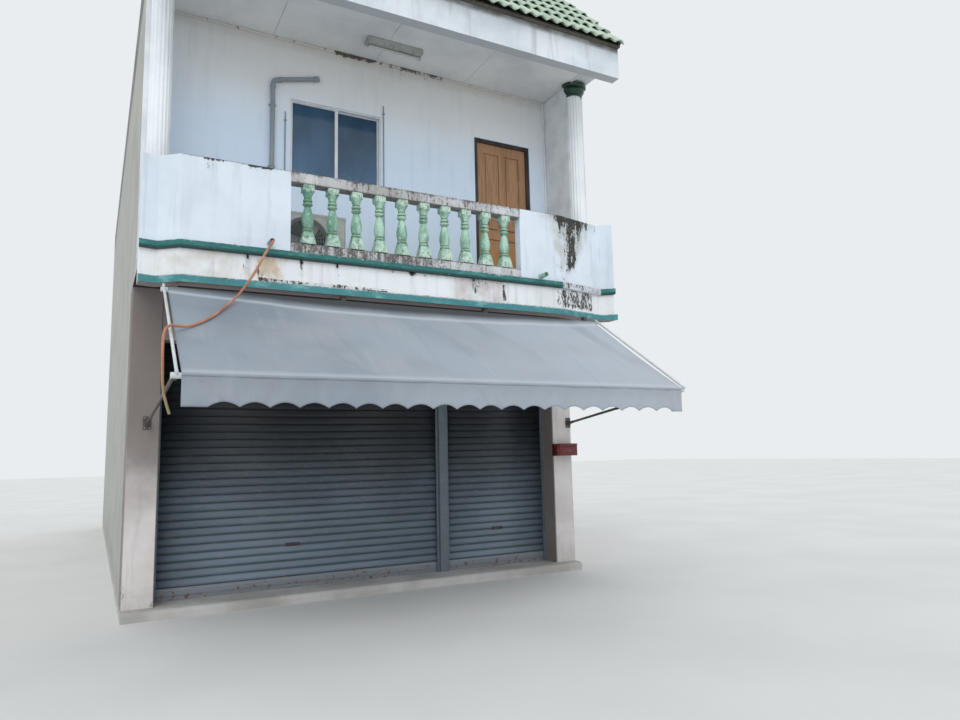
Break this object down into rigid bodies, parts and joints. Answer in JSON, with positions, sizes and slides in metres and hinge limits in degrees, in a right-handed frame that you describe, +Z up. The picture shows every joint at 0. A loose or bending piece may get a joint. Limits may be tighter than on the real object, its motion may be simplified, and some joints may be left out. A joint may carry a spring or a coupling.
{
  "type": "terraced shophouse building",
  "caption": "Two-storey terraced shophouse unit with roller shutters under a cloth awning and a balustraded balcony below a tiled roof edge.",
  "frame": {"origin": "centre of the plan box at ground level, the foot of the street sill", "axes": "+Z up; -Y faces the street; +X to the right as seen from the street"},
  "size_m": [4.87, 12.3244, 7.2259],
  "materials": {
    "wall_paint": "weathered white paint on render",
    "side_render": "plain grey cement render",
    "pier_paint": "worn pale paint on render",
    "concrete": "bare concrete",
    "green_paint": "weathered teal green paint",
    "capital_green": "dark green gloss paint",
    "mint_paint": "pale mint green paint",
    "shutter_metal": "blue-grey enamelled steel slats",
    "guide_metal": "grey painted steel",
    "awning_cloth": "grey coated canvas",
    "awning_metal": "grey painted steel tube",
    "window_frame_white": "white powder coat",
    "window_glass": "dark blue-green tinted glass",
    "door_wood": "brown varnished wood",
    "door_frame_dark": "dark painted wood",
    "roof_tile": "pale green wavy roof tile",
    "ridge_mortar": "blackened mortar",
    "roof_concrete": "weathered roof concrete",
    "soffit_board": "grey painted cement board",
    "lamp_metal": "rusting white enamel",
    "condenser_white": "off-white enamelled steel",
    "condenser_guard": "dark plastic grille",
    "pipe_grey": "grey plastic pipe",
    "awning_white": "white enamelled steel tube",
    "drain_hose_rubber": "faded orange rubber hose",
    "letterbox_red": "dark red enamel"
  },
  "bodies": {
    "root": {"ac_condenser": "condenser_white", "ac_fan_guard": "condenser_guard", "awning_arms": "awning_metal", "awning_bars": "awning_white", "awning_brackets": "awning_metal", "awning_canvas": "awning_cloth", "awning_valance": "awning_cloth", "balcony_columns": "wall_paint", "balcony_door": "door_wood", "balcony_fascia": "wall_paint", "balusters": "mint_paint", "balustrade_kerb": "wall_paint", "column_capitals": "capital_green", "door_frames": "door_frame_dark", "drain_hose": "drain_hose_rubber", "drain_spouts": "pipe_grey", "front_piers": "pier_paint", "ground_slab": "concrete", "handrail": "wall_paint", "left_party_wall": "side_render", "letterbox": "letterbox_red", "lower_moulding": "green_paint", "narrow_shutter": "shutter_metal", "parapet_panels": "wall_paint", "rear_door": "door_wood", "rear_wall": "side_render", "ridge_cap": "ridge_mortar", "right_party_wall": "side_render", "roof_edge_beam": "wall_paint", "roof_parapet": "roof_concrete", "roof_slab": "roof_concrete", "shutter_guides": "guide_metal", "shutter_head_beam": "pier_paint", "shutter_post": "guide_metal", "soffit_boards": "soffit_board", "soffit_lamp": "lamp_metal", "threshold_sill": "concrete", "tile_slope": "roof_tile", "upper_floor_slab": "concrete", "upper_front_wall": "wall_paint", "upper_moulding": "green_paint", "vent_pipe": "pipe_grey", "wide_shutter": "shutter_metal", "window_frames": "window_frame_white", "window_glass": "window_glass", "window_sashes": "window_frame_white"}
  },
  "joints": []
}
